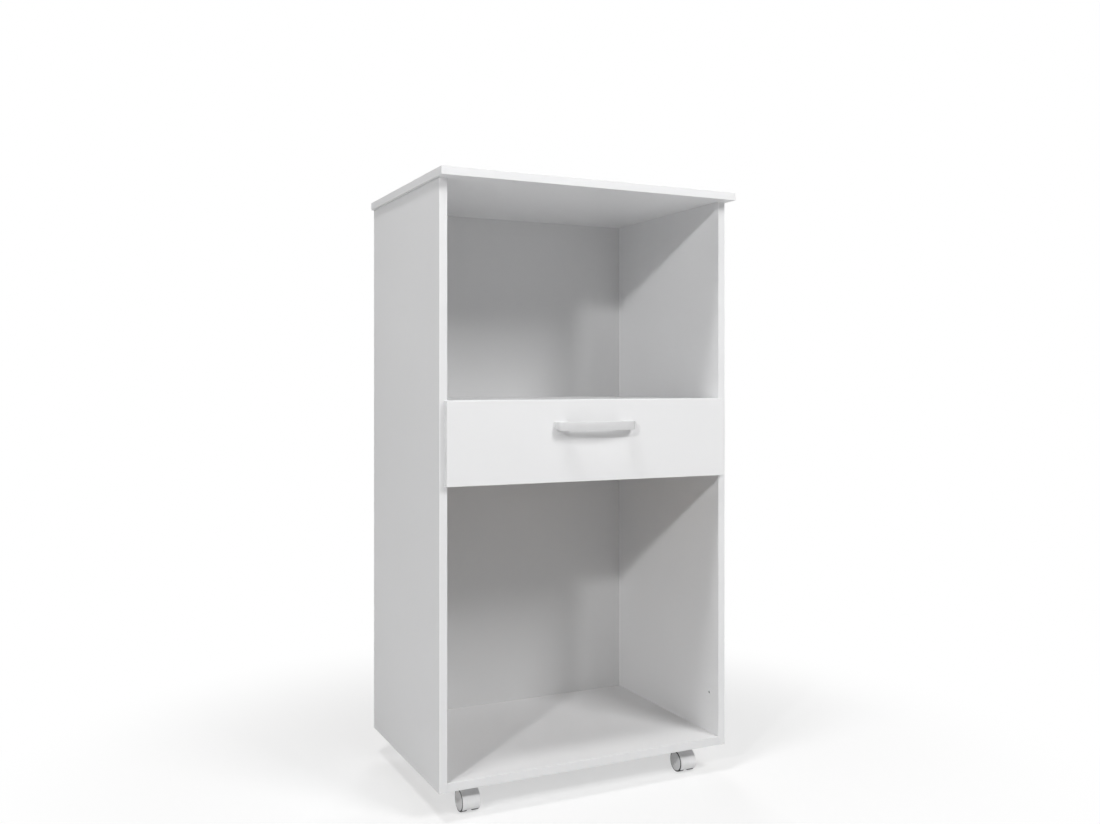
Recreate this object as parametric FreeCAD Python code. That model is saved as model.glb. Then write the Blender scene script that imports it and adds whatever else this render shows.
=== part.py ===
import FreeCAD, Part
import math
import os

# Microwave stand with one drawer, on four twin-wheel casters. Millimetres, +Z up, front towards -Y.
# Lengths along Y are worked out from the front edges of the side panels, heights from the floor, and
# every finished piece is moved back by centre_y, so that the origin is the middle of the footprint.

Vector = FreeCAD.Vector
X_AXIS = Vector(1, 0, 0)
Y_AXIS = Vector(0, 1, 0)
Z_AXIS = Vector(0, 0, 1)

# ---- Driving dimensions: carcass of melamine-faced board ----
carcass_width = 600.0            # outer face to outer face of the side panels
carcass_depth = 400.0            # depth of the side panels
side_height = 1077.0             # height of the side panels
side_board = 15.0
top_board = 15.0
bottom_board = 16.0              # a little thicker, it carries the casters
shelf_board = 15.0
top_front_overhang = 28.0        # top panel past the front edges of the sides
top_side_overhang = 6.0
shelf_top_height = 687.0         # niche floor above the lower edge of the sides
edge_radius = 0.6                # eased edge of the banding
pin_hole_radius = 2.5            # small blind hole near the front of each side panel
pin_hole_depth = 8.0
pin_hole_from_front = 32.0
pin_hole_height = 96.0           # above the lower edge of the sides

back_thickness = 3.0
back_side_inset = 2.0            # back panel in from the outer faces of the sides
back_bottom_inset = 3.0
back_top_lap = 11.0              # how far the back panel covers the rear edge of the top
nail_radius = 0.8
nail_head_radius = 2.0
nail_head_thickness = 0.6
nail_length = 20.0
nail_rows = 8                    # nails up each side edge
nail_columns = 3                 # nails along each horizontal board

# ---- Driving dimensions: carcass fasteners ----
cam_radius = 7.5
cam_past_bolt = 5.0              # depth of a cam housing past the middle of its board
cam_from_end = 24.0              # cam centre to the end of its board
cam_from_edge = 90.0             # cam rows from the front and the rear edge
cam_slot_length = 8.0
cam_slot_width = 1.6
cam_slot_depth = 2.0
bolt_shank_radius = 3.0
bolt_thread_radius = 2.5
bolt_thread_length = 10.0
bolt_in_cam = 4.0                # how far the bolt enters its cam
dowel_radius = 4.0
dowel_length = 30.0
dowel_in_face = 10.0             # part of a dowel that sits in the face of the other board
dowel_from_edge = 50.0
top_screw_radius = 2.5
top_screw_head_radius = 5.0
top_screw_head_height = 3.0
top_screw_length = 50.0
top_screw_from_edge = 60.0
cap_radius = 6.0
cap_thickness = 1.5
hole_clearance = 0.1             # round a fixed fastener, on the radius

# ---- Driving dimensions: drawer ----
drawer_front_height = 150.0
drawer_front_board = 12.0
drawer_front_side_reveal = 9.5   # side panel edge left bare beside the front
drawer_front_top_drop = 1.0      # top of the front below the niche floor
drawer_front_gap = 0.3           # between the closed front and the carcass
box_board = 12.0
box_height = 100.0
box_rear_space = 50.3            # between the closed drawer box and the back panel
box_above_front_bottom = 9.5     # lower edge of the box above the lower edge of the front
box_bottom_thickness = 3.0
box_groove_depth = 5.0
box_groove_height = 10.0         # groove above the lower edge of the box sides
groove_clearance = 0.1
box_cam_radius = 6.0
box_cam_past_bolt = 3.0
box_cam_from_end = 20.0
box_cam_spacing = 50.0
box_bolt_radius = 2.5
box_bolt_in_front = 8.0
box_screw_radius = 1.75
box_screw_length = 40.0
box_screw_head_radius = 3.5
box_screw_head_height = 2.5
box_nail_columns = 4

# ---- Driving dimensions: roller runners ----
runner_side_space = 12.5         # between a side panel and the drawer box
runner_steel = 1.0
runner_setback = 2.0             # cabinet runner behind the front edge
runner_rear_space = 48.0         # between the runner and the back panel
runner_overlap = 90.0            # length of runner still engaged when the drawer is fully open
roller_radius = 8.5
roller_gap = 0.3                 # rollers from the steel that they roll on
roller_pin_radius = 2.5
roller_running_clearance = 0.05
roller_collar_radius = 4.0
roller_collar_length = 1.4
roller_head_radius = 3.6
roller_head_length = 0.7
roller_side_gap = 0.25
roller_pin_end_gap = 1.1         # head of a roller pin from the other member of the runner
drawer_flange_height = 21.0      # underside of the riding flange above the lower edge of the box
drawer_flange_clearance = 1.0    # steel of one member from the steel of the other
front_roller_from_end = 12.0
rear_roller_from_end = 11.0
stop_height = 4.0
stop_length = 5.0
stop_gap = 0.5
runner_screw_radius = 1.75
runner_screw_head_radius = 3.3
runner_screw_length = 13.0
runner_screw_from_front = 35.0   # first screw from the front end of the runner
runner_screw_from_rear = 59.0    # last screw from the rear end, the others at even steps between
runner_screw_count = 3
drawer_screw_radius = 1.5
drawer_screw_length = 9.0
drawer_screw_head_radius = 3.0
drawer_screw_head_height = 1.5

# ---- Driving dimensions: handle ----
handle_length = 165.0
handle_height = 16.0
handle_projection = 25.0
handle_strap = 4.5
handle_end_radius = 16.5
handle_foot_straight = 4.0
handle_hole_spacing = 128.0
handle_above_front_bottom = 102.5   # centre of the handle above the lower edge of the front
handle_foot_inner = 6.0          # screw axis to the inner side of its foot
handle_gap_corner = 12.0
handle_low_corner = 7.0
handle_high_corner = 2.0
handle_screw_radius = 2.0
handle_screw_in_handle = 9.0
handle_screw_head_radius = 4.0
handle_screw_head_height = 2.2

# ---- Driving dimensions: casters ----
caster_height = 55.5             # floor to the underside of the bottom panel
caster_side_inset = 70.0         # kingpin from the outer face of the side panel
caster_end_inset = 62.0          # kingpin from the front or the rear edge
caster_trail = 18.0
wheel_radius = 20.0
wheel_width = 12.3
wheel_dome = 0.9
wheel_tread_radius = 1.2
wheel_rim = 3.2
wheel_web = 3.0
wheel_hub_radius = 5.0
wheel_side_gap = 0.6
hood_side_setback = 1.0          # hood short of the outer face of each wheel
hood_wall = 1.1
hood_gap = 0.5                   # hood from the wheel treads
hood_low_angle = -35.0           # lower front lip, in degrees above the axle's horizontal
hood_high_angle = 158.0          # upper rear lip
hood_web_angle = 200.0           # rear end of the middle web
hood_web = 10.0
hood_edge_radius = 0.4
collar_radius = 9.0
collar_neck_height = 4.0
kingpin_radius = 3.0
kingpin_head_radius = 5.0
kingpin_bottom = 14.0
kingpin_boss_floor = 3.0         # plastic under the kingpin
swivel_gap = 0.3
running_clearance = 0.05
axle_radius = 2.5
axle_in_wheel = 8.0
plate_size = 42.0
plate_thickness = 2.0
plate_corner = 4.0
plate_hole_spacing = 32.0
caster_screw_radius = 1.9
caster_screw_length = 14.0
caster_screw_head_radius = 3.6
caster_screw_head_height = 1.8
plate_hole_clearance = 0.3

overrun = 1.0                    # how far a cutter runs past the face that it opens
same_size = 1e-6                 # two lengths closer than this are the same

# ---- Heights and places that follow ----
side_bottom = caster_height
side_top = side_bottom + side_height
top_surface = side_top + top_board
shelf_top = side_bottom + shelf_top_height
shelf_bottom = shelf_top - shelf_board
inner_half = carcass_width / 2 - side_board
back_face = carcass_depth + back_thickness
front_top = shelf_top - drawer_front_top_drop
front_bottom = front_top - drawer_front_height
front_back_face = -drawer_front_gap
front_face = front_back_face - drawer_front_board
handle_face = front_face - handle_projection
centre_y = (handle_face + back_face) / 2
box_bottom = front_bottom + box_above_front_bottom
box_outer_half = inner_half - runner_side_space
box_inner_half = box_outer_half - box_board
box_back_face = carcass_depth - box_rear_space


def block(x_min, x_max, y_min, y_max, z_min, z_max):
    """A board or bar between six planes."""
    size = Vector(x_max - x_min, y_max - y_min, z_max - z_min)
    return Part.makeBox(size.x, size.y, size.z, Vector(x_min, y_min, z_min))


def rod(radius, start, end):
    """A round bar from one point to another."""
    return Part.makeCylinder(radius, (end - start).Length, start, end - start)


def taper(start_radius, end_radius, start, end):
    """A cone frustum from one point to another."""
    return Part.makeCone(start_radius, end_radius, (end - start).Length, start, end - start)


def moved(shape, place):
    """A copy of the shape at another place."""
    copy = shape.copy()
    copy.translate(place)
    return copy


def mirrored(shape):
    """The same piece on the other side of the stand."""
    return shape.mirror(Vector(0, 0, 0), X_AXIS)


def joined(shapes):
    """Several overlapping shapes as one solid."""
    first, *rest = shapes
    return first.fuse(rest).removeSplitter() if rest else first


def cut_by(shape, tools):
    """The shape with every tool taken out of it."""
    return shape.cut(list(tools)) if tools else shape


def on_both_sides(shapes):
    """A list of shapes and their mirror images."""
    return list(shapes) + [mirrored(shape) for shape in shapes]


def edges_on(shape, axis, place, shortest):
    """The straight edges that lie in the plane where the given coordinate has the given value."""
    def lies_in_plane(edge):
        return all(abs(getattr(vertex.Point, axis) - place) < same_size for vertex in edge.Vertexes)
    return [edge for edge in shape.Edges if edge.Length > shortest and lies_in_plane(edge)]


def eased(shape, edges):
    """The board with its banded edges slightly rounded."""
    return shape.makeFillet(edge_radius, edges)


def save(node, shapes):
    """Write one piece, or one group of identical pieces, as its own node."""
    group = Part.makeCompound(shapes) if isinstance(shapes, list) else shapes
    moved(group, Vector(0, -centre_y, 0)).exportStep(os.path.join("parts", node + ".step"))


# ---- Cam locks, their bolts, and dowels ----
def cam_lock(centre, out, towards, radius, depth, bolt_radius, bolt_level):
    """A cam housing let into a face. out leaves the face, towards points at the bolt."""
    body = rod(radius, centre - out * depth, centre)
    across = out.cross(towards)
    slot_start = centre - out * cam_slot_depth
    slots = []
    for along, side in ((towards, across), (across, towards)):
        corners = [
            slot_start + along * (a * cam_slot_length / 2) + side * (b * cam_slot_width / 2)
            for a, b in ((-1, -1), (1, -1), (1, 1), (-1, 1))
        ]
        outline = Part.makePolygon(corners + corners[:1])
        slots.append(Part.Face(outline).extrude(out * (cam_slot_depth * 2)))
    level = centre - out * bolt_level
    entry_start = level + towards * (radius - bolt_in_cam)
    entry = rod(bolt_radius + hole_clearance, entry_start, level + towards * radius * 2)
    return cut_by(body, slots + [entry])


def cam_pocket(centre, out, radius, depth):
    """The round pocket for a cam lock."""
    return rod(radius + hole_clearance, centre - out * (depth + hole_clearance), centre + out)


def stepped_bolt(start, face, end, thread_radius, shank_radius):
    """A cam bolt: thread from start to the face of its board, shank from there to end."""
    return joined([rod(thread_radius, start, face), rod(shank_radius, face, end)])


def board_fixings(level, cam_face, rows):
    """Cams, bolts and dowels at the left end of a board between the sides, and the holes for them."""
    out = Vector(0, 0, -1)
    end_x = -inner_half
    cams, bolts, pockets, side_holes = [], [], [], []
    for y in rows:
        centre = Vector(end_x + cam_from_end, y, cam_face)
        bolt_level = level - cam_face
        depth = bolt_level + cam_past_bolt
        cams.append(cam_lock(centre, out, -X_AXIS, cam_radius, depth, bolt_shank_radius, bolt_level))
        pockets.append(cam_pocket(centre, out, cam_radius, depth))
        thread_end = Vector(end_x - bolt_thread_length, y, level)
        face = Vector(end_x, y, level)
        shank_end = Vector(end_x + cam_from_end - cam_radius + bolt_in_cam - hole_clearance, y, level)
        bolts.append(stepped_bolt(thread_end, face, shank_end, bolt_thread_radius, bolt_shank_radius))
        pockets.append(rod(bolt_shank_radius + hole_clearance, face - X_AXIS, shank_end))
        thread_hole_end = thread_end - X_AXIS * hole_clearance
        side_holes.append(rod(bolt_thread_radius + hole_clearance, thread_hole_end, face))
    return cams, bolts, pockets, side_holes


def side_dowels(level, rows):
    """Dowels between the left side panel and the end of a board, and the holes for them."""
    dowels, holes = [], []
    for y in rows:
        start = Vector(-inner_half - dowel_in_face, y, level)
        end = start + X_AXIS * dowel_length
        spare = X_AXIS * hole_clearance
        dowels.append(rod(dowel_radius, start, end))
        holes.append(rod(dowel_radius + hole_clearance, start - spare, end + spare))
    return dowels, holes


def top_dowels(rows):
    """Upright dowels between the left side panel and the top, and the holes for them."""
    dowels, holes = [], []
    for y in rows:
        x = -(inner_half + side_board / 2)
        start = Vector(x, y, side_top + dowel_in_face)
        end = start - Z_AXIS * dowel_length
        spare = Z_AXIS * hole_clearance
        dowels.append(rod(dowel_radius, start, end))
        holes.append(rod(dowel_radius + hole_clearance, start + spare, end - spare))
    return dowels, holes


def top_fixings(rows):
    """Screws down through the top into the left side panel, their caps, and the holes for both."""
    screws, caps, holes = [], [], []
    for y in rows:
        cap_top = Vector(-(inner_half + side_board / 2), y, top_surface)
        head_top = cap_top - Z_AXIS * cap_thickness
        head_bottom = head_top - Z_AXIS * top_screw_head_height
        tip = head_top - Z_AXIS * top_screw_length
        head = taper(top_screw_head_radius, top_screw_radius, head_top, head_bottom)
        screws.append(joined([head, rod(top_screw_radius, head_bottom + Z_AXIS, tip)]))
        caps.append(rod(cap_radius, head_top, cap_top))
        holes.append(rod(cap_radius + hole_clearance, head_top, cap_top + Z_AXIS))
        head_hole_radius = top_screw_head_radius + hole_clearance
        shaft_hole_radius = top_screw_radius + hole_clearance
        holes.append(taper(head_hole_radius, shaft_hole_radius, head_top, head_bottom))
        holes.append(rod(shaft_hole_radius, head_bottom + Z_AXIS, tip - Z_AXIS * hole_clearance))
    return screws, caps, holes


# ---- Back panel ----
def nail_places():
    """Where the nails of the back panel go: up both side edges and along the three boards."""
    side_x = inner_half + side_board / 2
    low = side_bottom + bottom_board / 2
    high = side_top + back_top_lap / 2
    places = []
    for row in range(nail_rows):
        z = low + (high - low) * row / (nail_rows - 1)
        places += [(-side_x, z), (side_x, z)]
    for z in (low, (shelf_top + shelf_bottom) / 2, high):
        for column in range(nail_columns):
            places.append((inner_half * ((column + 1) * 2 / (nail_columns + 1) - 1), z))
    return places


def back_nail(x, z, grow=0.0):
    """A nail driven forward through the back panel, its head flush with the rear face."""
    rear = Vector(x, back_face, z)
    head_front = rear - Y_AXIS * (nail_head_thickness + grow)
    tip = rear - Y_AXIS * (nail_length + grow)
    head = rod(nail_head_radius + grow, head_front, rear)
    return joined([head, rod(nail_radius + grow, tip, head_front)])


# ---- Runners ----
roller_axis = box_bottom + drawer_flange_height - roller_gap - roller_radius
channel_floor = roller_axis - roller_radius - roller_gap
channel_roof = box_bottom + drawer_flange_height + runner_steel + drawer_flange_clearance
drawer_web_outer = runner_side_space - runner_steel
cabinet_flange_depth = drawer_web_outer - drawer_flange_clearance
roller_pin_reach = drawer_web_outer - runner_steel - roller_pin_end_gap
roller_width = roller_pin_reach - roller_collar_length - roller_head_length - roller_side_gap * 2
runner_length = carcass_depth - runner_setback - runner_rear_space
drawer_travel = runner_length - runner_overlap
front_roller_y = runner_setback + front_roller_from_end
rear_roller_y = runner_setback + runner_length - rear_roller_from_end


def from_side(depth, y, z):
    """A point at the given distance inwards from the inner face of the left side panel."""
    return Vector(-inner_half + depth, y, z)


def runner_block(depth_min, depth_max, y_min, y_max, z_min, z_max):
    """A bar of runner steel, its X given as distances inwards from the left side panel."""
    return block(-inner_half + depth_min, -inner_half + depth_max, y_min, y_max, z_min, z_max)


def runner_screw_rows():
    """Where the cabinet runner is screwed to the side panel."""
    first = runner_setback + runner_screw_from_front
    last = runner_setback + runner_length - runner_screw_from_rear
    return [first + (last - first) * row / (runner_screw_count - 1) for row in range(runner_screw_count)]


def runner_screw(y, grow=0.0):
    """A countersunk screw through the cabinet runner, its head flush with the steel."""
    face = from_side(runner_steel, y, roller_axis)
    head_end = face - X_AXIS * (runner_screw_head_radius - runner_screw_radius)
    tip = face - X_AXIS * (runner_screw_length + grow)
    head = taper(runner_screw_head_radius + grow, runner_screw_radius + grow, face, head_end)
    return joined([head, rod(runner_screw_radius + grow, tip, head_end)])


def cabinet_runner():
    """The C-shaped channel on the left side panel, with the stop that holds the drawer in."""
    y_min = runner_setback
    y_max = runner_setback + runner_length
    low = channel_floor - runner_steel
    high = channel_roof + runner_steel
    web = runner_block(0, runner_steel, y_min, y_max, low, high)
    floor = runner_block(0, cabinet_flange_depth, y_min, y_max, low, channel_floor)
    roof = runner_block(0, cabinet_flange_depth, y_min, y_max, channel_roof, high)
    height_below_axis = roller_radius + roller_gap - stop_height
    half_chord = math.sqrt(roller_radius ** 2 - height_below_axis ** 2)
    stop_back = rear_roller_y - drawer_travel - half_chord - stop_gap
    stop = runner_block(
        runner_steel + drawer_flange_clearance, cabinet_flange_depth,
        stop_back - stop_length, stop_back, low, channel_floor + stop_height)
    channel = joined([web, floor, roof, stop])
    pin_hole = rod(
        roller_pin_radius + hole_clearance,
        from_side(-runner_steel, front_roller_y, roller_axis),
        from_side(runner_steel * 2, front_roller_y, roller_axis))
    screw_holes = [runner_screw(y, hole_clearance) for y in runner_screw_rows()]
    return cut_by(channel, [pin_hole] + screw_holes)


def drawer_runner():
    """The Z-shaped rail under the left side of the box, with the flange that rides on the roller."""
    y_min = runner_setback
    y_max = runner_setback + runner_length
    flange_bottom = box_bottom + drawer_flange_height
    flange_top = flange_bottom + runner_steel
    low = box_bottom - runner_steel
    web = runner_block(drawer_web_outer, runner_side_space, y_min, y_max, low, flange_top)
    leg = runner_block(drawer_web_outer, runner_side_space + box_board, y_min, y_max, low, box_bottom)
    flange = runner_block(
        runner_steel + drawer_flange_clearance, runner_side_space, y_min, y_max, flange_bottom, flange_top)
    pin_hole = rod(
        roller_pin_radius + hole_clearance,
        from_side(drawer_web_outer - runner_steel, rear_roller_y, roller_axis),
        from_side(runner_side_space + runner_steel, rear_roller_y, roller_axis))
    screw_holes = [drawer_runner_screw(y, hole_clearance) for y in runner_screw_rows()]
    return cut_by(joined([web, leg, flange]), [pin_hole] + screw_holes)


def drawer_runner_screw(y, grow=0.0):
    """A pan-head screw up through the drawer runner into the lower edge of the box side."""
    seat = from_side(runner_side_space + box_board / 2, y, box_bottom - runner_steel)
    head = rod(drawer_screw_head_radius, seat - Z_AXIS * drawer_screw_head_height, seat)
    tip = seat + Z_AXIS * (drawer_screw_length + grow)
    shaft = rod(drawer_screw_radius + grow, seat - Z_AXIS * grow, tip)
    return shaft if grow else joined([head, shaft])


def roller_pin(y, web_face, out):
    """A riveted pin from the face of a runner's web: collar, shaft and head. out is +1 inwards."""
    def at(distance):
        return from_side(web_face + out * distance, y, roller_axis)
    roller_end = roller_collar_length + roller_width + roller_side_gap * 2
    return joined([
        rod(roller_pin_radius, at(-runner_steel), at(roller_end)),
        rod(roller_collar_radius, at(0), at(roller_collar_length)),
        rod(roller_head_radius, at(roller_end), at(roller_end + roller_head_length)),
    ])


def roller(y, web_face, out):
    """A nylon roller that turns on its pin."""
    near = web_face + out * (roller_collar_length + roller_side_gap)
    start = from_side(near, y, roller_axis)
    end = from_side(near + out * roller_width, y, roller_axis)
    tyre = rod(roller_radius, start, end)
    rims = [edge for edge in tyre.Edges if len(edge.Vertexes) == 1]
    tyre = tyre.makeChamfer(edge_radius, rims)
    return tyre.cut(rod(roller_pin_radius + roller_running_clearance, start, end))


# ---- Drawer ----
def box_cam_levels():
    """Heights of the two cams in each side of the drawer box."""
    middle = box_bottom + (box_height + box_groove_height + box_bottom_thickness) / 2
    return (middle - box_cam_spacing / 2, middle + box_cam_spacing / 2)


def box_cams():
    """Cams in the inner face of the left box side, their bolts into the front, and their holes."""
    cams, bolts, side_holes, front_holes = [], [], [], []
    for z in box_cam_levels():
        centre = Vector(-box_inner_half, front_back_face + box_cam_from_end, z)
        bolt_level = box_board / 2
        depth = bolt_level + box_cam_past_bolt
        cams.append(cam_lock(centre, X_AXIS, -Y_AXIS, box_cam_radius, depth, box_bolt_radius, bolt_level))
        side_holes.append(cam_pocket(centre, X_AXIS, box_cam_radius, depth))
        x = -box_inner_half - bolt_level
        tip = Vector(x, front_back_face - box_bolt_in_front, z)
        face = Vector(x, front_back_face, z)
        end = Vector(x, front_back_face + box_cam_from_end - box_cam_radius + bolt_in_cam - hole_clearance, z)
        bolts.append(rod(box_bolt_radius, tip, end))
        side_holes.append(rod(box_bolt_radius + hole_clearance, face - Y_AXIS, end))
        front_holes.append(rod(box_bolt_radius + hole_clearance, tip - Y_AXIS * hole_clearance, face))
    return cams, bolts, side_holes, front_holes


def box_back_screws(grow=0.0):
    """Countersunk screws through the left box side into the end of the box back."""
    screws = []
    for z in box_cam_levels():
        outer = Vector(-box_outer_half, box_back_face - box_board / 2, z)
        head_end = outer + X_AXIS * box_screw_head_height
        tip = outer + X_AXIS * (box_screw_length + grow)
        head = taper(box_screw_head_radius + grow, box_screw_radius + grow, outer, head_end)
        screws.append(joined([head, rod(box_screw_radius + grow, head_end, tip)]))
    return screws


def bottom_nails(grow=0.0):
    """Nails up through the drawer bottom into the box back, their heads under the bottom."""
    nails = []
    for column in range(box_nail_columns):
        x = box_inner_half * ((column + 1) * 2 / (box_nail_columns + 1) - 1)
        seat = Vector(x, box_back_face - box_board / 2, box_bottom + box_groove_height)
        shaft = rod(nail_radius + grow, seat - Z_AXIS * grow, seat + Z_AXIS * (nail_length + grow))
        head = rod(nail_head_radius, seat - Z_AXIS * nail_head_thickness, seat)
        nails.append(shaft if grow else joined([head, shaft]))
    return nails


def box_groove():
    """The groove for the thin bottom, cut round the two sides and the front."""
    low = box_bottom + box_groove_height
    high = low + box_bottom_thickness + groove_clearance
    reach = box_inner_half + box_groove_depth
    return block(-reach, reach, front_back_face - box_groove_depth, box_back_face + overrun, low, high)


def handle_centre_height():
    return front_bottom + handle_above_front_bottom


def handle_screw(x, grow=0.0):
    """A machine screw from inside the drawer, through the front, into a foot of the handle."""
    seat = Vector(x, front_back_face, handle_centre_height())
    tip = Vector(x, front_face - handle_screw_in_handle - grow, seat.z)
    shaft = rod(handle_screw_radius + grow, tip, seat + Y_AXIS * grow)
    head = rod(handle_screw_head_radius, seat, seat + Y_AXIS * handle_screw_head_height)
    return shaft if grow else joined([head, shaft])


def handle():
    """A bow handle: a flat strap in one long arc whose ends turn back into two feet."""
    half = handle_length / 2
    low = handle_centre_height() - handle_height / 2
    end_x = half - handle_end_radius
    depth_at_ends = handle_projection - handle_foot_straight
    bow_rise = depth_at_ends - handle_end_radius
    bow_radius = (end_x ** 2 + depth_at_ends ** 2 - handle_end_radius ** 2) / (2 * bow_rise)
    bow_centre_y = handle_face + bow_radius
    end_y = front_face - handle_foot_straight

    def corner(side, angle):
        x = end_x + handle_end_radius * math.cos(angle)
        return Vector(side * x, end_y - handle_end_radius * math.sin(angle), low)

    meet = math.atan2(bow_centre_y - end_y, end_x)
    right_foot = Vector(half, front_face, low)
    left_foot = Vector(-half, front_face, low)
    apex = Vector(0, handle_face, low)
    outline = [
        Part.LineSegment(right_foot, corner(1, 0)).toShape(),
        Part.Arc(corner(1, 0), corner(1, meet / 2), corner(1, meet)).toShape(),
        Part.Arc(corner(1, meet), apex, corner(-1, meet)).toShape(),
        Part.Arc(corner(-1, meet), corner(-1, meet / 2), corner(-1, 0)).toShape(),
        Part.LineSegment(corner(-1, 0), left_foot).toShape(),
        Part.LineSegment(left_foot, right_foot).toShape(),
    ]
    body = Part.Face(Part.Wire(outline)).extrude(Z_AXIS * handle_height)

    high = low + handle_height
    inner_disc = rod(bow_radius - handle_strap, Vector(0, bow_centre_y, low), Vector(0, bow_centre_y, high))
    gap_half = handle_hole_spacing / 2 - handle_foot_inner
    gap = block(-gap_half, gap_half, handle_face, front_face, low, high)
    gap = gap.common(inner_disc)
    uprights = [edge for edge in gap.Edges if abs(edge.Length - handle_height) < same_size]
    inner_corners = [edge for edge in uprights if edge.CenterOfMass.y < front_face - handle_foot_straight]
    gap = gap.makeFillet(handle_gap_corner, inner_corners)

    front_view = block(-half, half, handle_face, front_face, low, high)
    for radius, level in ((handle_high_corner, high), (handle_low_corner, low)):
        across = [edge for edge in edges_on(front_view, "z", level, 0)
                  if abs(edge.Length - handle_projection) < same_size]
        front_view = front_view.makeFillet(radius, across)
    screw_holes = [handle_screw(side * handle_hole_spacing / 2, hole_clearance) for side in (-1, 1)]
    return cut_by(body.common(front_view), [gap] + screw_holes)


# ---- Casters, built about the kingpin axis, rolling forward with the hood in front ----
axle_height = wheel_radius
hood_inner_radius = wheel_radius + hood_gap
hood_outer_radius = hood_inner_radius + hood_wall
hood_width = hood_web + (wheel_side_gap + wheel_width - hood_side_setback) * 2
plate_bottom = caster_height - plate_thickness


def about_axle(radius, angle, x=0.0):
    """A point round the axle: angle 0 is forward, 90 is up."""
    turn = math.radians(angle)
    return Vector(x, -caster_trail - radius * math.cos(turn), axle_height + radius * math.sin(turn))


def arc_about_axle(radius, start, end, x):
    """An arc round the axle between two angles."""
    middle = about_axle(radius, (start + end) / 2, x)
    return Part.Arc(about_axle(radius, start, x), middle, about_axle(radius, end, x)).toShape()


def line(start, end):
    return Part.LineSegment(start, end).toShape()


def hood():
    """The plastic body: a shell over both wheels, a web between them and the kingpin socket behind."""
    side = -hood_width / 2
    low, high = hood_low_angle, hood_high_angle
    shell_outline = Part.Wire([
        arc_about_axle(hood_outer_radius, low, high, side),
        line(about_axle(hood_outer_radius, high, side), about_axle(hood_inner_radius, high, side)),
        arc_about_axle(hood_inner_radius, high, low, side),
        line(about_axle(hood_inner_radius, low, side), about_axle(hood_outer_radius, low, side)),
    ])
    shell = Part.Face(shell_outline).extrude(X_AXIS * hood_width)
    rim_length = hood_outer_radius * math.radians(high - low)
    rims = [edge for edge in shell.Edges if abs(edge.Length - rim_length) < same_size]
    shell = shell.makeFillet(hood_edge_radius, rims)

    web_side = -hood_web / 2
    middle_radius = hood_inner_radius + hood_wall / 2
    web_outline = Part.Wire([
        arc_about_axle(middle_radius, low, hood_web_angle, web_side),
        line(about_axle(middle_radius, hood_web_angle, web_side), about_axle(0, 0, web_side)),
        line(about_axle(0, 0, web_side), about_axle(middle_radius, low, web_side)),
    ])
    web = Part.Face(web_outline).extrude(X_AXIS * hood_web)
    hub = rod(wheel_hub_radius, about_axle(0, 0, web_side), about_axle(0, 0, -web_side))

    boss_bottom = Vector(0, 0, kingpin_bottom - kingpin_boss_floor)
    collar_top = Vector(0, 0, plate_bottom - swivel_gap)
    collar_bottom = Vector(0, 0, axle_height + hood_outer_radius)
    boss = rod(hood_web / 2, boss_bottom, collar_top)
    collar = rod(collar_radius, collar_bottom, collar_top)
    neck = taper(hood_web / 2, collar_radius, collar_bottom - Z_AXIS * collar_neck_height, collar_bottom)
    body = joined([shell, web, hub, boss, collar, neck])
    socket = rod(kingpin_radius + running_clearance, Vector(0, 0, kingpin_bottom - swivel_gap), collar_top)
    axle_hole = rod(axle_radius + running_clearance, about_axle(0, 0, -hood_web), about_axle(0, 0, hood_web))
    return cut_by(body, [socket, axle_hole])


def axle():
    """The steel axle, held in the web, on which both wheels turn."""
    reach = hood_web / 2 + wheel_side_gap + axle_in_wheel
    return rod(axle_radius, about_axle(0, 0, -reach), about_axle(0, 0, reach))


def wheel(side):
    """One wheel: domed outside, hollow inside, with a hub that turns on the axle. side is -1 or 1."""
    inner = hood_web / 2 + wheel_side_gap
    outer = inner + wheel_width
    shoulder = outer - wheel_dome
    web_inner = shoulder - wheel_web
    rim_inner = wheel_radius - wheel_rim
    bore = axle_radius + running_clearance
    bore_end = inner + axle_in_wheel + swivel_gap
    dome_radius = (wheel_radius ** 2 + wheel_dome ** 2) / (2 * wheel_dome)
    dome_middle = wheel_radius / 2
    dome_x = outer - dome_radius + math.sqrt(dome_radius ** 2 - dome_middle ** 2)

    def at(x, radius):
        return Vector(x, -caster_trail, axle_height + radius)

    dome = Part.Arc(at(shoulder, wheel_radius), at(dome_x, dome_middle), at(outer, 0)).toShape()
    corners = [
        at(outer, 0), at(bore_end, 0), at(bore_end, bore), at(inner, bore),
        at(inner, wheel_hub_radius), at(web_inner, wheel_hub_radius), at(web_inner, rim_inner),
        at(inner, rim_inner), at(inner, wheel_radius), at(shoulder, wheel_radius),
    ]
    outline = Part.Wire([line(a, b) for a, b in zip(corners, corners[1:])] + [dome])
    solid = Part.Face(outline).revolve(at(0, 0), X_AXIS, 360)
    tread_edges = [edge for edge in solid.Edges if abs(edge.Length - 2 * math.pi * wheel_radius) < same_size]
    solid = solid.makeFillet(wheel_tread_radius, tread_edges)
    return mirrored(solid) if side < 0 else solid


def kingpin(grow=0.0):
    """The pin riveted into the plate, with a countersunk head."""
    shaft = rod(kingpin_radius + grow, Vector(0, 0, kingpin_bottom), Vector(0, 0, plate_bottom + grow))
    head_low = Vector(0, 0, plate_bottom)
    head_high = Vector(0, 0, caster_height)
    return joined([shaft, taper(kingpin_radius + grow, kingpin_head_radius + grow, head_low, head_high)])


def plate_hole_places():
    reach = plate_hole_spacing / 2
    return [(x, y) for x in (-reach, reach) for y in (-reach, reach)]


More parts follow.
